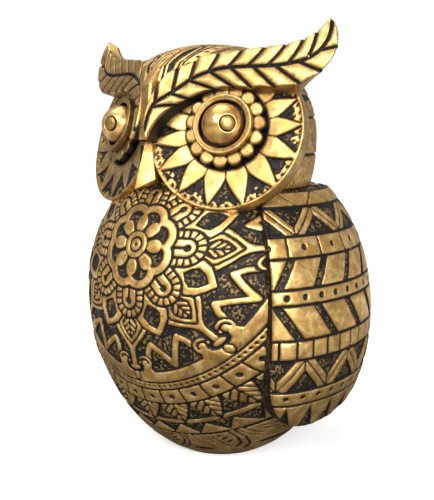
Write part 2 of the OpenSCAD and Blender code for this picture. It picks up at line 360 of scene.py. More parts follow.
WING_LINES = [91.9, 83.2, 76.6, 67.2, 62.2, 51.0, 44.5, 33.4, 28.3]  # grooves between the bands


def wing_pattern(t, z):
    """Bands across the wing. t is the angle from the wing's own axis."""
    line = WING_LINES
    groove = either(*(0.42 - np.abs(z - height) for height in line))
    above = z - line[0]
    shoulder = both(above, either(0.4 - np.abs(near(t - 2.1 * above, 26.0, 82.0)) * 0.7,
                                  0.3 - np.abs(near(t + 2.3 * above, 26.0, 103.0)) * 0.7))
    upper_row = chevrons(t, z, line[1], line[0], 27.5, 84.0, 2.0)
    squares = both(slab(z, line[2], line[1]),
                   either(0.38 - np.abs(near(t, 15.8, 80.8)) * 0.85,
                          dot(near(t, 15.8, 88.7) * 0.85, z, 0, 79.9, 0.95)))
    forward = bars(t, z, line[3], line[2], 16.1, 59.5, 6.6, 3.5)
    dots = dot(near(t, 7.4, 62.6) * 0.9, z, 0, 64.7, 1.0)
    backward = bars(t, z, line[5], line[4], 16.2, 67.5, -8.8, 3.5)
    bricks = both(slab(z, line[6], line[5]), 0.38 - np.abs(near(t, 6.75, 66.3)) * 0.9)
    lower_row = chevrons(t, z, line[7], line[6], 22.0, 70.0, 2.3)
    pins = oval(near(t, 7.3, 63.4) * 0.87, z, 0, 31.1, 0.95, 0.75)
    spike = np.abs(near(t, 11.4, 64.5)) * 0.82 - np.clip((27.3 - z) * 0.36, 0, 3.4)
    spikes = both(-spike * 0.9, 27.6 - z)
    upper = either(shoulder, upper_row, squares, forward, dots)
    return -either(groove, upper, backward, bricks, lower_row, pins, spikes)


def head_pattern(p):
    """Stripes that run back over the crown, and rows of barbs on the sides."""
    x, y, z = p[..., 0], p[..., 1], p[..., 2]
    lift = np.maximum(z - 108.0, 0.01)
    over = np.degrees(np.arctan2(x, lift))
    s = 32.0 * np.radians(over) * (1 + 0.006 * (y + 20))
    back = -y
    dotted = dot(near(s, 11.0), near(back, 4.2), 0, 0, 0.6)
    rails = 0.3 - np.abs(np.abs(near(s, 11.0)) - 1.9)
    shift = 9.5 * np.round(np.abs((s - 5.5) / 11.0))
    ahead, aside = near(back, 19.0, 26.0 + shift), near(s, 11.0, 5.5)
    lens = oval(ahead, aside, 0, 0, 8.0, 1.3)
    halo = 0.28 - np.abs(oval(ahead, aside, 0, 0, 9.3, 2.5) + 0.2)
    crown = either(dotted, rails, lens, halo)
    around = np.degrees(np.arctan2(x, -(y - HEAD.axis_y)))
    row = near(z, 12.5, 108.0)
    arc = np.radians(near(around, 12.0)) * HEAD.radius(z)
    streak = 0.3 - np.abs(near(arc + 0.35 * np.sin(z * 0.9), 1.35)) - 0.25 * np.abs(np.sin(z * 0.35 + around))
    blocks = either(0.45 - np.abs(row), 0.4 - np.abs(np.abs(arc) - math.radians(6.0) * 40.0), streak)
    return -np.where(np.abs(over) > 62, blocks, crown)


def feather_rows(across, up, pitch, row):
    """Overlapping round-ended feathers with a vein, as depth inside the gilded parts."""
    level = np.floor(up / row)
    a = near(across, pitch, 0.5 * pitch * (level % 2))
    b = up - level * row
    tip = np.hypot(a, np.minimum(b - pitch * 0.5, 0))
    edge = np.abs(tip - pitch * 0.47) * np.where(b < pitch * 0.5, 1, 9)
    vein = both(0.3 - np.abs(a), b - 1.6)
    barbs = both(0.24 - 0.74 * np.abs(near(b - 0.8 * np.abs(a), 2.0)), pitch * 0.36 - np.abs(a), b - 1.2)
    return -either(0.45 - edge, vein, barbs)


PETALS = [  # direction from the eye in degrees, and length
    (-185.0, 23.5), (-168.5, 26.6), (-146.0, 26.4), (-122.5, 26.0), (-98.0, 25.8), (-71.5, 26.6),
    (-45.5, 27.6), (-21.0, 27.2), (2.5, 25.0), (22.5, 24.2), (45.0, 23.0), (69.0, 22.0), (95.0, 21.5),
    (121.0, 21.5), (148.0, 22.0)]
COLLAR_GAP, VALLEY_R = 13.9, 16.4  # from the eye to where the petals start, and to where they part


def disc_pattern(u, v):
    """Sunflower petals round the eye, and pin-pricked ground between their tips."""
    x, y = u - EYE[0], v - EYE[1]
    r, rim = np.hypot(x, y), np.hypot(u - DISC_AT[0], v - DISC_AT[1])
    petals = np.full(np.shape(u), -99.0)
    for i, (direction, length) in enumerate(PETALS):
        before = (direction - PETALS[i - 1][0]) % 360 / 2
        after = (PETALS[(i + 1) % len(PETALS)][0] - direction) % 360 / 2
        a = math.radians(direction)
        px, py = x * math.cos(a) + y * math.sin(a), y * math.cos(a) - x * math.sin(a)
        right, left = VALLEY_R * math.sin(math.radians(before)), VALLEY_R * math.sin(math.radians(after))
        reach = length - VALLEY_R
        edge = [(12.0, 0.66), (VALLEY_R - 0.3, 0.97)]
        edge += [(VALLEY_R + k * reach, w) for k, w in ((0.22, 0.86), (0.5, 0.60), (0.78, 0.28), (1.0, 0.0))]
        outline = smooth_curve([(e, w * left) for e, w in edge], 5).tolist()
        outline += smooth_curve([(e, -w * right) for e, w in edge], 5)[::-1][1:].tolist()
        petals = np.maximum(petals, inside(px, py, outline))
    theta = np.degrees(np.arctan2(v - DISC_AT[1], u - DISC_AT[0]))
    pricks = np.full(np.shape(u), -99.0)
    for k, ring in enumerate((24.3, 22.5, 20.7, 18.9)):
        count = int(2 * math.pi * ring / 2.3)
        arc = ring * np.radians(fold(theta + 2.0 * np.sin(np.radians(theta * 7)), count, k * 2.4))
        pricks = np.maximum(pricks, dot(rim, arc, ring + 0.3 * np.sin(theta * 0.9 + k), 0, 0.42))
    uneven = 0.9 * np.sin(u * 1.3 + 1.1 * np.sin(v * 0.9))
    uneven += 0.8 * np.sin(v * 1.7 + 0.8 * np.sin(u * 1.1 + 2))
    ground = both((rim - 23.0 + uneven) * 0.6, -petals - 0.5, -pricks)
    pricks = both(pricks, -petals - 0.4)
    # Over the last 1.5 mm before COLLAR_GAP the petals sink and fade to black. This is partly a real slope
    # down and partly a painted shade round the collar.
    petals = both(petals, (r - COLLAR_GAP) * 0.34)
    return either(petals, ground), petals, pricks, r


# ---- carving and meshes ----------------------------------------------


def carve(gilt, depth=GROOVE):
    """How far the surface lies below its casting: nothing on the gilded tops, the full depth in a groove."""
    t = np.clip((0.12 - gilt) / 0.55, 0, 1)
    crown = 0.16 * np.exp(-np.maximum(gilt, 0) / 0.7)
    return depth * t * t * (3 - 2 * t) * 0.86 + crown * depth / GROOVE * 0.8


def round_over(edge, radius):
    """How far a rounded border falls at a distance from its edge."""
    t = np.clip(edge, 0, radius)
    return radius - np.sqrt(np.maximum(0, radius**2 - (radius - t) ** 2))


class Shell:
    """Collects grids of points, faces and gilt into one closed mesh."""

    def __init__(self):
        self.points, self.faces, self.gilt, self.count = [], [], [], 0

    def add(self, points, gilt):
        points = np.asarray(points, float)
        shape = points.shape[:-1]
        self.points.append(points.reshape(-1, 3))
        self.gilt.append(np.broadcast_to(gilt, shape).reshape(-1))
        index = np.arange(self.count, self.count + int(np.prod(shape))).reshape(shape)
        self.count += index.size
        return index

    def skin(self, index, wrap=False):
        """Faces over a grid of point numbers, closed round its columns with wrap."""
        if wrap:
            index = np.concatenate([index, index[:, :1]], axis=1)
        a, b, c, d = index[:-1, :-1], index[:-1, 1:], index[1:, 1:], index[1:, :-1]
        self.faces += np.stack([a, b, c, d], axis=-1).reshape(-1, 4).tolist()

    def strip(self, first, second):
        """Faces between two closed loops of the same length."""
        self.skin(np.stack([first, second]), wrap=True)

    def rings(self, rings, last=None):
        """Adds closed loops, as (points, gilt), each joined to the one before. Gives the first and last."""
        loops = [] if last is None else [last]
        loops += [self.add(points, gilt) for points, gilt in rings]
        for a, b in zip(loops, loops[1:]):
            self.strip(a, b)
        return loops[0], loops[-1]

    def wall(self, loop, outer, inner, shares):
        """Rings from an outer border to an inner one, at shares of the way, as (share, gilt)."""
        return self.rings([(outer * (1 - k) + inner * k, gilt) for k, gilt in shares], loop)[1]

    def cap(self, loop, point, gilt=-1.0):
        centre = self.add(np.asarray(point, float)[None], gilt)[0]
        nxt = np.roll(loop, -1)
        self.faces += [[int(a), int(b), int(centre)] for a, b in zip(loop, nxt)]

    def piece(self, name, node, material, sharp=None):
        mesh = bpy.data.meshes.new(name)
        mesh.from_pydata((np.vstack(self.points) * MM).tolist(), [], self.faces)
        bm = bmesh.new()
        bm.from_mesh(mesh)
        bmesh.ops.remove_doubles(bm, verts=bm.verts, dist=0.002 * MM)
        bmesh.ops.recalc_face_normals(bm, faces=bm.faces)
        bm.to_mesh(mesh)
        bm.free()
        untouched = len(mesh.vertices) == self.count
        values = np.concatenate(self.gilt) if untouched else self.matched(mesh)
        layer = mesh.attributes.new("gilt", "FLOAT", "POINT")
        layer.data.foreach_set("value", np.clip(values, -3, 3).astype(np.float32))
        return place(mesh, name, node, material, sharp)

    def matched(self, mesh):
        """The gilt of the points that are left after doubles were merged."""
        left = np.empty(len(mesh.vertices) * 3)
        mesh.vertices.foreach_get("co", left)
        before = np.round(np.vstack(self.points), 2).tolist()
        key = {tuple(k): g for k, g in zip(before, np.concatenate(self.gilt))}
        return np.array([key.get(tuple(k), 1.0) for k in np.round(left.reshape(-1, 3) / MM, 2).tolist()])


def place(mesh, name, node, material, sharp=None):
    """Puts a mesh in the scene as the shown form of a CAD node."""
    for polygon in mesh.polygons:
        polygon.use_smooth = True
    if sharp is not None:
        mesh.set_sharp_from_angle(angle=math.radians(sharp))
    mesh.materials.append(material)
    piece = bpy.data.objects.new(name, mesh)
    bpy.context.scene.collection.objects.link(piece)
    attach(piece, "root")
    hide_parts(node)
    return piece


def rim_loop(index):
    """The point numbers round the border of a grid."""
    return np.concatenate([index[0, :-1], index[:-1, -1], index[-1, :0:-1], index[:0:-1, 0]])


def steps(*stretches):
    """Joins stretches (from, to, spacing) into one list of positions."""
    counts = [max(2, int(math.ceil(abs(b - a) / d))) for a, b, d in stretches]
    parts = [np.linspace(a, b, n, endpoint=False) for (a, b, _), n in zip(stretches, counts)]
    return np.concatenate(parts)


# ---- materials -------------------------------------------------------


class Nodes:
    """A short way to write a node material."""

    def __init__(self, name):
        self.material = bpy.data.materials.new(name)
        self.material.use_nodes = True
        self.tree = self.material.node_tree
        self.shader = self.tree.nodes["Principled BSDF"]
        self.place = self.add("ShaderNodeTexCoord").outputs["Object"]

    def add(self, kind, **settings):
        node = self.tree.nodes.new(kind)
        for key, value in settings.items():
            setattr(node, key, value)
        return node

    def put(self, socket, value):
        if isinstance(value, bpy.types.NodeSocket):
            self.tree.links.new(value, socket)
        else:
            socket.default_value = value

    def feed(self, node, settings):
        for name, value in settings.items():
            self.put(node.inputs[name], value)
        return node.outputs

    def set(self, name, value):
        """Sets the shader's socket to a number, a colour or another node's output."""
        self.put(self.shader.inputs[name], value)

    def noise(self, scale, detail=2.0, rough=0.5, distort=0.0):
        settings = {"Vector": self.place, "Scale": scale, "Detail": detail, "Roughness": rough}
        settings["Distortion"] = distort
        return self.feed(self.add("ShaderNodeTexNoise"), settings)["Fac"]

    def math(self, operation, a, b=0.0):
        node = self.add("ShaderNodeMath", operation=operation)
        self.put(node.inputs[0], a)
        self.put(node.inputs[1], b)
        return node.outputs[0]

    def times(self, a, b):
        return self.math("MULTIPLY", a, b)

    def plus(self, a, b):
        return self.math("ADD", a, b)

    def ramp(self, value, low, high, to_low=0.0, to_high=1.0):
        node = self.add("ShaderNodeMapRange", interpolation_type="SMOOTHSTEP")
        settings = {"Value": value, "From Min": low, "From Max": high, "To Min": to_low, "To Max": to_high}
        return self.feed(node, settings)[0]

    def mix(self, factor, a, b):
        node = self.add("ShaderNodeMix", data_type="RGBA")
        self.put(node.inputs["Factor"], factor)
        self.put(node.inputs[6], a)
        self.put(node.inputs[7], b)
        return node.outputs[2]

    def bump(self, height, distance, strength=1.0, normal=None):
        settings = {"Height": height, "Distance": distance, "Strength": strength}
        if normal is not None:
            settings["Normal"] = normal
        return self.feed(self.add("ShaderNodeBump"), settings)["Normal"]


GOLD_TONES = [(0.13, 0.060, 0.018), (0.43, 0.240, 0.070), (0.61, 0.368, 0.116), (0.82, 0.560, 0.226)]


def gilded(name, light=1.0, wear=1.0, rough=0.36):
    """Black paint with antique gold dry-brushed over everything that stands proud."""
    n = Nodes(name)
    gilt = n.add("ShaderNodeAttribute", attribute_name="gilt").outputs["Fac"]
    ragged = n.times(n.math("SUBTRACT", n.noise(1400, 3), 0.5), 0.35 * wear)
    mask = n.ramp(n.plus(gilt, ragged), -0.06, 0.10)
    blotch, cloud = n.noise(260, 4, 0.6), n.noise(38, 3)
    # light scales the gold and the ground's flecks of this copy of the paint: painted light above 1 and
    # painted shade below 1, in place of how the lamps fall on it.
    tone = [tuple(c * light for c in rgb) + (1,) for rgb in GOLD_TONES]
    gold = n.mix(n.ramp(blotch, 0.40, 0.72), n.mix(cloud, tone[1], tone[2]), tone[3])
    scuffs = n.times(n.ramp(n.noise(900, 5, 0.7), 0.55, 0.68), 0.75 * wear)
    gold = n.mix(scuffs, gold, tone[0])
    wash = n.times(n.ramp(n.noise(95, 4, 0.65, 0.6), 0.50, 0.68), 0.45 * wear)
    gold = n.mix(wash, gold, tone[0])
    edge = n.ramp(gilt, 0.55, 0.0)
    gold = n.mix(n.times(edge, 0.35), gold, tone[0])
    deep = n.ramp(gilt, -0.45, -0.85)
    grains = n.ramp(n.noise(1050, 2, 0.5), 0.50, 0.60)
    patches = n.ramp(n.noise(170, 2), 0.34, 0.55)
    fleck = n.times(n.times(deep, grains), n.times(patches, 0.8))
    ground = n.mix(n.noise(300, 3), (0.003, 0.0026, 0.0023, 1), (0.011, 0.008, 0.006, 1))
    ground = n.mix(n.times(fleck, 0.8), ground, (0.30 * light, 0.185 * light, 0.065 * light, 1))
    n.set("Base Color", n.mix(mask, ground, gold))
    shine = n.math("MAXIMUM", mask, n.times(fleck, 0.6))
    n.set("Metallic", n.times(shine, 0.88))
    n.set("Specular IOR Level", 0.22)
    matt = n.plus(n.times(n.noise(520, 4, 0.6), 0.20), rough - 0.10)
    n.set("Roughness", n.plus(n.times(n.math("SUBTRACT", 1.0, mask), 0.16), matt))
    relief = n.plus(n.times(mask, 0.35), n.times(n.times(deep, grains), 0.5))
    fine = n.bump(n.noise(2300, 4, 0.6), 0.00006, 0.6)
    n.set("Normal", n.bump(relief, 0.00035, 0.8, n.bump(blotch, 0.00022, 0.6, fine)))
    return n.material


def felt():
    n = Nodes("felt_black")
    fuzz = n.noise(2600, 5, 0.7)
    n.set("Base Color", n.mix(fuzz, (0.006, 0.006, 0.006, 1), (0.03, 0.03, 0.03, 1)))
    n.set("Roughness", n.plus(n.times(fuzz, 0.1), 0.85))
    n.set("Normal", n.bump(fuzz, 0.0002))
    return n.material


def wire():
    n = Nodes("drawn_wire")
    grain = n.noise(900, 3)
    n.set("Base Color", n.mix(grain, (0.42, 0.42, 0.43, 1), (0.58, 0.58, 0.59, 1)))
    n.set("Metallic", 1.0)
    n.set("Roughness", n.plus(n.times(grain, 0.15), 0.3))
    return n.material


def filler():
    n = Nodes("plug_filler")
    grain = n.noise(700, 4)
    n.set("Base Color", n.mix(grain, (0.02, 0.018, 0.017, 1), (0.05, 0.046, 0.042, 1)))
    n.set("Roughness", n.plus(n.times(grain, 0.2), 0.6))
    n.set("Normal", n.bump(grain, 0.0002))
    return n.material


def studio_floor():
    n = Nodes("glowing_pale_floor")
    seen = n.add("ShaderNodeLightPath").outputs["Is Camera Ray"]
    pale = n.mix(n.noise(3, 2), (0.84, 0.84, 0.84, 1), (0.87, 0.87, 0.87, 1))
    away = n.add("ShaderNodeVectorMath", operation="LENGTH")
    n.put(away.inputs[0], n.place)
    # Seen from the owl, the floor is dark close to it and paler further out. This is a painted shadow that
    # the gold reflects and takes bounce light from.
    lit = n.ramp(away.outputs["Value"], 0.10, 0.32, 0.12, 0.75)
    n.set("Base Color", n.mix(seen, n.mix(lit, (0, 0, 0, 1), (1, 1, 1, 1)), pale))
    n.set("Emission Color", (1, 1, 1, 1))
    # Seen by the camera, the floor also glows, less near the owl than far from it. This is painted light from
    # a floor that is no lamp.
    glow = n.ramp(away.outputs["Value"], 0.1, 0.45, 0.5, 1.0)
    n.set("Emission Strength", n.times(seen, glow))
    n.set("Roughness", 0.9)
    return n.material


# ---- torso and head --------------------------------------------------


def build_torso(material):
    angle = steps((-66, 66, 0.52), (66, 148, 1.6), (148, 212, 0.75), (212, 294, 1.6))
    low, high = TORSO.arc(BASE_Z), TORSO.arc(NECK_Z)
    z = TORSO.height(np.linspace(low, high, int((high - low) / FINE)))
    t, zz = np.meshgrid(angle, z)
    gilt = torso_pattern(t, zz)
    shell = Shell()
    index = shell.add(TORSO.point(t, zz, carve(gilt)), gilt)
    shell.skin(index, wrap=True)
    shell.cap(index[0], (0, 0, BASE_Z))
    shell.cap(index[-1], (0, 0, NECK_Z))
    return shell.piece("torso_carved", "torso", material)


CROWN_LAP = 5.5  # above the plumes the crown reaches this far in front of the discs


def behind_face(p, depth):
    """Flattens the head behind the discs and plumes, and tells which points that hides."""
    hidden = np.zeros(p.shape[:-1], dtype=bool)
    upper = np.array(PLUME_UPPER[3:])
    for side in (1, -1):
        face = Face(side)
        u, v, h = ((p - face.origin) @ axis for axis in (face.u, face.v, face.n))
        crown = v > np.maximum(15.0, np.interp(u, upper[:, 0], upper[:, 1])) - 0.8
        beyond = np.maximum(0, h - np.where(crown, CROWN_LAP - depth, -DISC_T))
        p = p - beyond[..., None] * face.n
        hidden |= (beyond > 0) & ~crown
    return p, hidden


def build_head(material):
    low = HEAD.arc(NECK_Z)
    arcs = np.linspace(low, HEAD.table_arc[-1] - 0.4, int((HEAD.table_arc[-1] - low) / FINE))
    angle = np.linspace(-180, 180, 480, endpoint=False)
    t, zz = np.meshgrid(angle, HEAD.height(arcs))
    gilt = head_pattern(behind_face(HEAD.point(t, zz), 0.0)[0])
    p = HEAD.point(t, zz, carve(gilt))
    p, hidden = behind_face(p, carve(gilt))
    gilt = np.where(hidden, -1.0, gilt)
    shell = Shell()
    index = shell.add(p, gilt)
    shell.skin(index, wrap=True)
    shell.cap(index[0], (0, HEAD.axis_y, NECK_Z))
    shell.cap(index[-1], (0, HEAD.axis_y, HEAD.mid + HEAD.up), 1.0)
    return shell.piece("head_carved", "head", material)


# ---- face ------------------------------------------------------------


def trimmed(face, p):
    """Flattens what would cross the middle of the face."""
    p = p.copy()
    p[..., 0] = face.side * np.maximum(face.side * p[..., 0], FACE_GAP)
    return p


def build_disc(side, name, node, material):
    """The flat side faces outwards as a plain bronze rim."""
    bevel = 0.9
    around = np.linspace(0, 2 * math.pi, 420, endpoint=False)
    r, a = np.meshgrid(steps((0.4, DISC_R - bevel, 0.42)), around, indexing="ij")
    gilt, petals, pricks, eye_r = disc_pattern(DISC_AT[0] + r * np.cos(a), DISC_AT[1] + r * np.sin(a))
    dish = -0.9 * np.clip((25.0 - eye_r) / 11.0, 0, 1) ** 1.3
    h = dish - carve(petals, 0.85) - 0.5 * np.clip((pricks + 0.15) / 0.4, 0, 1)
    face = Face(side)
    shell = Shell()
    front = shell.add(trimmed(face, face.polar(DISC_AT, r, a, h)), gilt)
    shell.skin(front, wrap=True)
    shell.cap(front[0], face.point(*DISC_AT, h[0, 0]), gilt[0, 0])
    rim = [(DISC_R - bevel + 0.25, -0.02, 1.0), (DISC_R - 0.35, -0.18, 1.2), (DISC_R - 0.1, -0.5, 1.2),
           (DISC_R, -1.0, 0.8), (DISC_R, -2.6, 0.9), (DISC_R, -4.2, 0.9), (DISC_R, -DISC_T, 0.15)]
    edges = [(trimmed(face, face.polar(DISC_AT, r, around, h)), g) for r, h, g in rim]
    shell.cap(shell.rings(edges, front[-1])[1], face.point(*DISC_AT, -DISC_T))
    return shell.piece(name, node, material)


LOBES, LOBE_RING, LOBE_SIZE, COLLAR_T = 15, 11.2, 2.45, 1.7
CUP_R, CUP_IN, CUP_H = 9.9, 7.8, 4.2
BALL_R, BALL_UP = 6.8, 2.2
PUPIL_R, PUPIL_GROOVE = 2.3, 0.4


def build_collar(side, name, node, material):
    """Round lobes side by side, each a low dome."""
    a = np.linspace(0, 360, 420, endpoint=False)
    off = np.radians(fold(a, LOBES, 5.0))
    reach = LOBE_RING * np.cos(off) + np.sqrt(np.maximum(0, LOBE_SIZE**2 - (LOBE_RING * np.sin(off)) ** 2))
    reach = np.maximum(reach, LOBE_RING + 0.9)
    s = np.linspace(0, 1, 16)[:, None]
    r = CUP_R - 0.6 + (reach[None] - CUP_R + 0.6) * s
    lx, ly = r * np.cos(off), r * np.sin(off)
    d = dot(lx, ly, LOBE_RING, 0, LOBE_SIZE)
    dome = COLLAR_T - 0.8 * round_over(np.maximum(d, 0) + 0.08, 1.0) - 0.8 * np.clip(-d + 0.15, 0, 0.8)
    gilt = np.minimum(d, (reach - r) + 0.1) - 0.05
    turn = np.radians(a)
    face = Face(side)
    shell = Shell()
    top = shell.add(face.polar(EYE, r, turn, np.maximum(dome, 0.3)), gilt)
    shell.skin(top, wrap=True)
    under = [(face.polar(EYE, edge, turn, -1.9), -0.6) for edge in (r[-1], r[0])]
    shell.strip(shell.rings(under, top[-1])[1], top[0])
    return shell.piece(name, node, material)


def build_cup(side, name, node, material):
    """A turned ring with a rounded lip and a plain seat inside. The profile is radius, height, gilt."""
    profile = [(CUP_R - 0.05, -1.5, -0.6), (CUP_R, 0.2, -0.6), (CUP_R, 1.7, -0.1), (CUP_R, 2.6, 0.35)]
    for t in np.linspace(0, math.pi / 2, 7):
        profile.append((CUP_R - 0.5 + 0.5 * math.cos(t), CUP_H - 0.75 + 0.5 * math.sin(t), 0.6))
    profile += [(CUP_R - 0.9, CUP_H - 0.32, 0.5), (CUP_R - 1.3, CUP_H - 0.42, 0.4)]
    profile += [(CUP_IN + 0.75, CUP_H - 0.45, 0.5), (CUP_IN + 0.4, CUP_H - 0.42, 0.8)]
    profile += [(CUP_IN + 0.12, CUP_H - 0.6, 0.5), (CUP_IN, CUP_H - 0.95, -0.05)]
    profile += [(CUP_IN, CUP_H - 1.6, -0.6), (CUP_IN, 1.0, -0.9)]
    a = np.linspace(0, 2 * math.pi, 180, endpoint=False)
    face = Face(side)
    shell = Shell()
    first, last = shell.rings([(face.polar(EYE, r, a, h), g) for r, h, g in profile])
    shell.cap(last, face.point(*EYE, profile[-1][1]))
    shell.cap(first, face.point(*EYE, profile[0][1]))
    return shell.piece(name, node, material, sharp=55)


class Gaze:
    """The line of sight of one eye, measured from the eyeball's centre."""

    def __init__(self, side):
        face = Face(side)
        turn, drop = math.radians(GAZE_TURN) * side, math.radians(GAZE_DROP)
        level = math.sin(turn) * face.u + math.cos(turn) * face.n
        self.centre = face.point(*EYE, BALL_UP)
        self.sight = math.cos(drop) * level - math.sin(drop) * face.v
        across = np.cross(face.v, self.sight)
        self.across = across / np.linalg.norm(across)
        self.up = np.cross(self.sight, self.across)

    def at(self, reach):
        return self.centre + reach * self.sight

    def ring(self, radius, reach, columns):
        a = np.linspace(0, 2 * math.pi, columns, endpoint=False)[:, None]
        return self.at(reach) + radius * (np.cos(a) * self.across + np.sin(a) * self.up)


def build_eyeball(side, name, node, material):
    """A ball with a ring cut round the pupil. What the cup hides is left black."""
    face, eye = Face(side), Gaze(side)
    pocket = math.degrees(math.asin((PUPIL_R + PUPIL_GROOVE) / BALL_R))
    back = 132  # angle from the line of sight at which the ball is cut off
    rings = []
    lip = [(pocket - 1.0, 1.0, -0.6), (pocket, 0.22, 0.1), (pocket + 1.2, 0.03, 0.6)]
    for angle, sunk, gilt in lip + [(angle, 0.0, 2.0) for angle in np.linspace(pocket + 3, back, 60)]:
        t, r = math.radians(angle), BALL_R - sunk
        p = eye.ring(r * math.sin(t), r * math.cos(t), 160)
        rings.append((p, np.where((p - face.origin) @ face.n < 2.2, -0.6, gilt)))
    shell = Shell()
    first, last = shell.rings(rings)
    shell.cap(first, eye.at((BALL_R - 1.3) * math.cos(math.radians(pocket - 1.0))), -0.8)
    shell.cap(last, eye.at(BALL_R * math.cos(math.radians(back))))
    return shell.piece(name, node, material)


def build_pupil(side, name, node, material):
    """A stud with a low domed top. The profile is radius, distance along the sight, gilt."""
    eye = Gaze(side)
    top, edge = BALL_R + 0.12, 0.35
    profile = [(PUPIL_R, BALL_R - 1.9, -0.8), (PUPIL_R, top - 0.62, 0.0)]
    for t in (0.5, 1.0, 1.5):
        profile.append((PUPIL_R - edge + edge * math.cos(t), top - 0.62 + edge * math.sin(t), 0.5))
    profile += [(PUPIL_R * k, top - 0.26 + 0.26 * (1 - k * k), 1.2) for k in (0.7, 0.5, 0.3, 0.12)]
    shell = Shell()
    first, last = shell.rings([(eye.ring(r, h, 96), g) for r, h, g in profile])
    shell.cap(first, eye.at(profile[0][1]))
    shell.cap(last, eye.at(top), 1.2)
    return shell.piece(name, node, material)


# The brow plume's edges and rib on the face plane, from its inner end to its tip.
PLUME_UPPER = [
    (-25.5, -5.0), (-26.6, -0.5), (-26.3, 5.0), (-24.2, 11.5), (-20.0, 17.9), (-10.6, 22.9), (-3.5, 24.0),
    (10.5, 25.4), (17.5, 26.1), (23.2, 27.7), (27.6, 30.4), (30.6, 33.9)]
PLUME_LOWER = [
    (-25.0, -5.0), (-24.2, -1.6), (-21.4, 3.1), (-17.0, 7.0), (-9.5, 10.8), (-1.9, 12.7), (7.0, 12.6),
    (14.4, 12.4), (21.0, 12.7), (26.1, 14.8), (30.6, 18.4), (33.2, 23.1), (33.6, 27.7), (32.4, 31.9),
    (30.6, 33.9)]
PLUME_RIB = [
    (-26.0, -2.0), (-25.2, 3.3), (-23.6, 6.9), (-19.2, 10.3), (-12.9, 15.3), (-6.4, 17.9), (0.0, 19.0),
    (13.7, 19.2), (20.0, 19.9), (24.6, 21.1), (28.0, 23.3), (30.3, 26.6), (31.3, 30.5), (31.2, 34.0)]


def barb_lines():
    """Barbs leave the rib forwards at a lean and bend away from it."""
    rib = along(smooth_curve(PLUME_RIB), 400)
    tangent = np.gradient(rib, axis=0)
    heading = np.degrees(np.arctan2(tangent[:, 1], tangent[:, 0]))
    length = np.hypot(*np.diff(rib, axis=0).T).sum()
    lines = []
    for s in np.arange(9.5, 63.0, 6.5):
        i = int(s / length * 399)
        lines.append(bent(rib[i], heading[i] + 43, 34 * s / length, 11))
    for s in np.arange(7.8, 67.0, 7.25):
        i = int(s / length * 399)
        lines.append(bent(rib[i], heading[i] - 56 + 24 * s / length, 24 * s / length - 12, 10))
    return rib, lines


def bent(start, heading, turn, length):
    """A polyline that starts in one direction and turns evenly as it goes."""
    count = 7
    points = [tuple(start)]
    for k in range(count):
        a = math.radians(heading + turn * k / count)
        x, y = points[-1]
        points.append((x + length / count * math.cos(a), y + length / count * math.sin(a)))
    return points


def build_plume(side, name, node, material):
    columns, rows = 220, 46
    upper, lower = along(smooth_curve(PLUME_UPPER), columns), along(smooth_curve(PLUME_LOWER), columns)
    t = np.linspace(0, 1, rows)[:, None, None]
    grid = lower[None] * (1 - t) + upper[None] * t
    u, v = grid[..., 0], grid[..., 1]
    top, bottom = along(smooth_curve(PLUME_UPPER), 90), along(smooth_curve(PLUME_LOWER), 90)
    edge = np.abs(inside(u, v, top.tolist() + bottom[::-1].tolist()))
    rib, lines = barb_lines()
    barbs = np.minimum.reduce([to_path(u, v, line) for line in lines])
    gilt = both(to_path(u, v, rib[::8].tolist()) - 0.55, barbs - 0.46, edge + 0.6)
    swell = 0.25 * (1 - np.exp(-np.maximum(gilt, 0) / 1.0))
    root = 2.2 * np.clip((-u - 15.0) / 10.0, 0, 1)
    h = PLUME_T - 0.2 + root + swell - carve(gilt, 1.0) - 0.6 * round_over(edge, 0.6)
    face = Face(side)
    shell = Shell()
    front = shell.add(face.point(u, v, h), gilt)
    shell.skin(front)
    loop = rim_loop(front)
    lu, lv = u.reshape(-1)[loop], v.reshape(-1)[loop]
    away = np.stack([lu, lv], -1) - np.array([3.0, 17.0])
    away /= np.linalg.norm(away, axis=1)[:, None]
    front_h = h.reshape(-1)[loop]
    back_h = -DISC_T + np.clip((lu - 17.0) / 14.0, 0, 1) * (DISC_T + 1.0)
    flare = np.interp(lu, [-10.0, 6.0, 14.0, 27.0], [-1.6, 0.5, 0.8, -2.6])
    # shade lowers the side wall's gilt towards the plume's inner end, so it is painted dark: a painted shade
    # in the recess there.
    shade = np.interp(lu, [-6.0, 8.0], [1.3, 0.0])
    rings = []
    for share, g in ((0.12, 1.0), (0.4, 1.1), (0.75, 0.7), (1.0, 0.1)):
        out = (flare * share)[:, None] * away
        side_h = front_h * (1 - share) + back_h * share
        rings.append((face.point(lu + out[:, 0], lv + out[:, 1], side_h), g - shade))
    close_strip(shell, shell.rings(rings, loop)[1], columns, rows)
    return shell.piece(name, node, material)


def close_strip(shell, loop, columns, rows):
    """Closes the back of a long piece by joining its lower border to its upper one."""
    lower = loop[:columns]
    right = loop[columns:columns + rows - 2]
    upper = loop[columns + rows - 2:2 * columns + rows - 2][::-1]
    left = loop[2 * columns + rows - 2:][::-1]
    shell.skin(np.stack([upper, lower]))
    shell.faces.append([int(lower[-1])] + [int(i) for i in right] + [int(upper[-1])])
    shell.faces.append([int(upper[0])] + [int(i) for i in left[::-1]] + [int(lower[0])])


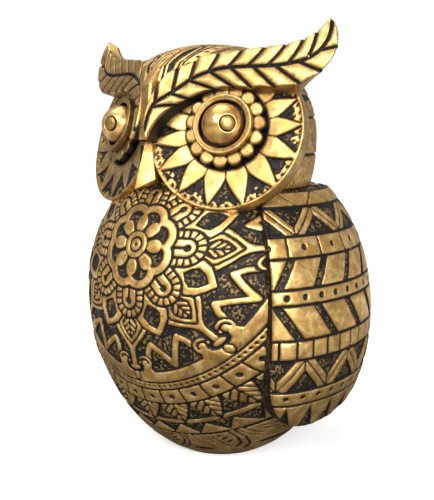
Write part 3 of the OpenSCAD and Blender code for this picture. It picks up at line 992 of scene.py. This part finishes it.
def solid(name, node, points, faces, bevel, material):
    """A faceted casting with softened edges, gilded all over."""
    mesh = bpy.data.meshes.new(name)
    mesh.from_pydata([tuple(c * MM for c in p) for p in points], [], faces)
    bm = bmesh.new()
    bm.from_mesh(mesh)
    bmesh.ops.recalc_face_normals(bm, faces=bm.faces)
    bmesh.ops.bevel(bm, geom=bm.edges[:], offset=bevel * MM, segments=2, profile=0.6, affect="EDGES")
    bm.to_mesh(mesh)
    bm.free()
    layer = mesh.attributes.new("gilt", "FLOAT", "POINT")
    layer.data.foreach_set("value", [1.5] * len(mesh.vertices))
    return place(mesh, name, node, material, sharp=28)


def build_beak(material):
    points = [(0, -38.0, 112.9), (0, -43.4, 97.2), (4.2, -37.8, 100.6), (-4.2, -37.8, 100.6),
              (1.1, -36.0, 112.9), (-1.1, -36.0, 112.9), (0, -30, 98.5), (0, -28, 112.9)]
    faces = [(0, 1, 2, 4), (0, 5, 3, 1), (1, 6, 2), (1, 3, 6), (2, 6, 7, 4), (3, 5, 7, 6), (0, 4, 7, 5)]
    return solid("beak_cast", "beak", points, faces, 0.35, material)


def build_bridge(material):
    """A keel whose front is chamfered on both sides, and which folds back onto the crown."""
    half, flat = 2.1, 1.5
    profile = [(-39.6, 113.2), (-37.4, 131.0), (-33.6, 135.5), (-28.0, 138.0), (-20.0, 138.0), (-20.0, 114.0)]
    points, front = [], 4
    for i, (y, z) in enumerate(profile):
        chamfer = 0.7 if i < front else 0.0
        points += [(-half, y + chamfer, z), (-flat if i < front else -half + 0.6, y, z),
                   (flat if i < front else half - 0.6, y, z), (half, y + chamfer, z)]
    faces = []
    for i in range(len(profile) - 1):
        a, b = 4 * i, 4 * (i + 1)
        for k in range(3):
            faces.append((a + k, a + k + 1, b + k + 1, b + k))
    last = 4 * (len(profile) - 1)
    faces.append((last, last + 1, last + 2, last + 3, 3, 2, 1, 0))
    faces.append(tuple(4 * i for i in range(len(profile))))
    faces.append(tuple(4 * i + 3 for i in range(len(profile))))
    return solid("brow_bridge_cast", "brow_bridge", points, faces, 0.25, material)


# ---- wings and tail --------------------------------------------------

WING_FRONT, WING_BACK, WING_TOP = 57.0, 150.0, 96.0
WING_TIP = (80.0, 17.5)
# The wings' and tail's backs lie this far inside the torso's surface, between these two heights.
BACK_SINK, BACK_LOW, BACK_HIGH = 1.5, 3.0, 96.5


def bezier(a, b, c, d):
    t = np.linspace(0, 1, 40)[:, None]
    a, b, c, d = (np.asarray(p, float) for p in (a, b, c, d))
    return (1 - t) ** 3 * a + 3 * (1 - t) ** 2 * t * b + 3 * (1 - t) * t**2 * c + t**3 * d


def wing_foot(angle):
    """Height of the wing's lower edge."""
    front = bezier((WING_FRONT, 36), (WING_FRONT, 24), (66, WING_TIP[1]), WING_TIP)
    back = bezier(WING_TIP, (100, WING_TIP[1]), (132, 25), (WING_BACK + 1, 50))
    curve = np.vstack([front, back[1:]])
    return np.interp(angle, curve[:, 0], curve[:, 1]), curve


def build_wing(side, name, node, material):
    u = steps((0, 1, 1 / 45)) ** 2 * 3.0
    angle = np.concatenate([WING_FRONT + u, steps((60.0, 128.0, 0.52), (128.0, WING_BACK, 0.8)), [WING_BACK]])
    foot, curve = wing_foot(angle)
    s = np.linspace(0, 1, 190)[:, None]
    low, high = WING.arc(foot)[None], WING.arc(WING_TOP)
    z = WING.height(low + (high - low) * s)
    t = np.broadcast_to(angle, z.shape)
    gilt = wing_pattern(WING_FRONT + 1.045 * (t - WING_FRONT), z)
    r = WING.radius(z)
    border = np.stack([np.radians(curve[:, 0]) * 50, curve[:, 1]], -1)[::4].tolist()
    ahead, behind = np.radians(t - WING_FRONT) * r, np.radians(WING_BACK - t) * r
    edge = both(ahead, behind, to_path(np.radians(t) * 50, z, border))
    leading = 1.6 * np.clip(1 - ahead / 9.0, 0, 1) ** 2 * np.clip((80 - z) / 25, 0, 1)
    depth = carve(gilt) * np.clip(edge / 1.6, 0.1, 1) + round_over(edge, 1.1) + leading
    p = WING.point(t, z, depth) * (side, 1, 1)
    back = TORSO.point(t, np.clip(z, BACK_LOW, BACK_HIGH), BACK_SINK) * (side, 1, 1)
    shares = ((0.12, -0.6), (0.35, -0.6), (0.6, -0.6), (1.0, -1.0))
    return slab_piece(p, both(gilt, edge - 0.2), back, shares, name, node, material)


def slab_piece(front, gilt, back, shares, name, node, material):
    """A carved front, a plain back, and the border between them."""
    shell = Shell()
    top = shell.add(front, gilt)
    shell.skin(top)
    loop = rim_loop(top)
    last = shell.wall(loop, front.reshape(-1, 3)[loop], back.reshape(-1, 3)[loop], shares)
    under = shell.add(back, -1.0)
    shell.skin(under)
    shell.strip(last, rim_loop(under))
    return shell.piece(name, node, material)


def build_tail(material):
    """A short rounded tail with rows of feathers."""
    z = np.linspace(7.5, 50.0, 105)[:, None]
    width = np.interp(z, [7.5, 8.5, 10.0, 12.0, 17.0, 24.0, 32.0, 40.0, 50.0],
                      [3.0, 8.5, 11.5, 13.6, 15.6, 16.2, 15.6, 14.4, 13.0])
    s = np.linspace(-1, 1, 84)[None]
    x = s * width
    z = np.broadcast_to(z, x.shape)
    angle = 180 - np.degrees(np.arcsin(np.clip(x / TAIL.radius(z), -1, 1)))
    edge = both(width - np.abs(x), 50.2 - z, (z - 7.3) * 1.2)
    gilt = both(feather_rows(x, TAIL.arc(z), 6.4, 7.4), edge + 0.4)
    p = TAIL.point(angle, z, carve(gilt) + round_over(edge, 1.3))
    shares = ((0.15, 0.5), (0.5, -0.1), (1.0, -1.0))
    return slab_piece(p, gilt, TORSO.point(angle, z, BACK_SINK), shares, "tail_carved", "tail", material)


# ---- stage -----------------------------------------------------------

ROOM_LIGHT = 0.42
AIM_Z, CAMERA_TURN, CAMERA_RISE, CAMERA_AWAY = 72.0, 41.0, 9.5, 277.5


def aim(item, target):
    direction = Vector(np.asarray(target) - np.asarray(item.location))
    item.rotation_euler = direction.to_track_quat("-Z", "Y").to_euler()


def build_camera():
    turn, rise = math.radians(CAMERA_TURN), math.radians(CAMERA_RISE)
    back = np.array([math.sin(turn) * math.cos(rise), -math.cos(turn) * math.cos(rise), math.sin(rise)])
    target = np.array([0, 0, AIM_Z])
    data = bpy.data.cameras.new("camera")
    data.sensor_width, data.lens = 36.0, 53.64
    data.shift_x = -0.010
    data.clip_start = 0.01
    camera = bpy.data.objects.new("camera", data)
    camera.location = (target + back * CAMERA_AWAY) * MM
    bpy.context.scene.collection.objects.link(camera)
    aim(camera, target * MM)
    bpy.context.scene.camera = camera


def softbox(name, place_mm, size_mm, watts):
    data = bpy.data.lights.new(name, "AREA")
    data.shape, data.size, data.size_y = "RECTANGLE", size_mm[0] * MM, size_mm[1] * MM
    data.energy = watts
    light = bpy.data.objects.new(name, data)
    light.location = np.array(place_mm) * MM
    bpy.context.scene.collection.objects.link(light)
    aim(light, np.array([0, 0, 80.0]) * MM)
    light.visible_camera = False


def build_stage():
    world = bpy.data.worlds.new("studio")
    world.use_nodes = True
    tree = world.node_tree
    tree.nodes["Background"].inputs["Color"].default_value = (1, 1, 1, 1)
    seen = tree.nodes.new("ShaderNodeLightPath").outputs["Is Camera Ray"]
    level = tree.nodes.new("ShaderNodeMapRange")
    level.inputs["To Min"].default_value = ROOM_LIGHT
    level.inputs["To Max"].default_value = 1.0
    tree.links.new(seen, level.inputs["Value"])
    tree.links.new(level.outputs[0], tree.nodes["Background"].inputs["Strength"])
    bpy.context.scene.world = world
    bpy.context.scene.view_settings.view_transform = "Standard"
    softbox("key", (110, -590, 520), (420, 340), 3.9)
    softbox("side", (620, -380, 330), (300, 360), 5.0)
    softbox("top", (-150, 0, 800), (600, 600), 3.0)
    bpy.ops.mesh.primitive_circle_add(vertices=96, radius=6.0, fill_type="NGON", location=(0, 0, 0))
    floor = bpy.context.object
    floor.name = "floor"
    floor.data.materials.append(studio_floor())


# ---- making ----------------------------------------------------------


def dress_cad(nodes, material):
    """Gives CAD nodes that are shown as they are their own material."""
    for node in nodes:
        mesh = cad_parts[node].data
        mesh.materials.clear()
        mesh.materials.append(material)


build_camera()
build_stage()
# Four copies of one gilding. The body's copy is painted brighter and the face's darker, as painted light and
# shade. The eyeballs' copy is also their own smoother, less worn gold, and is brighter by painted light. The
# cups', collars' and pupils' copy is partly their own darker bronze and partly painted shade.
body_coat_painted_bright = gilded("gilding_of_body_painted_bright", light=1.22)
face_coat_painted_dim = gilded("gilding_of_face_painted_dim", light=0.84, wear=0.9)
ball_coat_painted_bright = gilded("gilding_of_eyes_painted_bright", light=1.15, wear=0.15, rough=0.30)
rim_coat_painted_dim = gilded("gilding_of_bezels_painted_dim", light=0.56, wear=1.1)
build_torso(body_coat_painted_bright)
build_head(body_coat_painted_bright)
build_tail(body_coat_painted_bright)
build_beak(face_coat_painted_dim)
build_bridge(face_coat_painted_dim)
for side, word in ((1, "left"), (-1, "right")):
    build_disc(side, f"{word}_disc_carved", f"{word}_facial_disc", face_coat_painted_dim)
    build_collar(side, f"{word}_collar_cast", f"{word}_eye_collar", rim_coat_painted_dim)
    build_cup(side, f"{word}_cup_cast", f"{word}_eye_cup", rim_coat_painted_dim)
    build_eyeball(side, f"{word}_ball_cast", f"{word}_eyeball", ball_coat_painted_bright)
    build_pupil(side, f"{word}_pupil_cast", f"{word}_pupil", rim_coat_painted_dim)
    build_plume(side, f"{word}_plume_carved", f"{word}_brow_plume", face_coat_painted_dim)
    build_wing(side, f"{word}_wing_carved", f"{word}_wing", body_coat_painted_bright)
dress_cad(["felt_pad"], felt())
dress_cad(["base_plug"], filler())
dress_cad(["wing_pins", "disc_pins", "plume_pins", "beak_pin", "bridge_pin", "tail_pins"], wire())
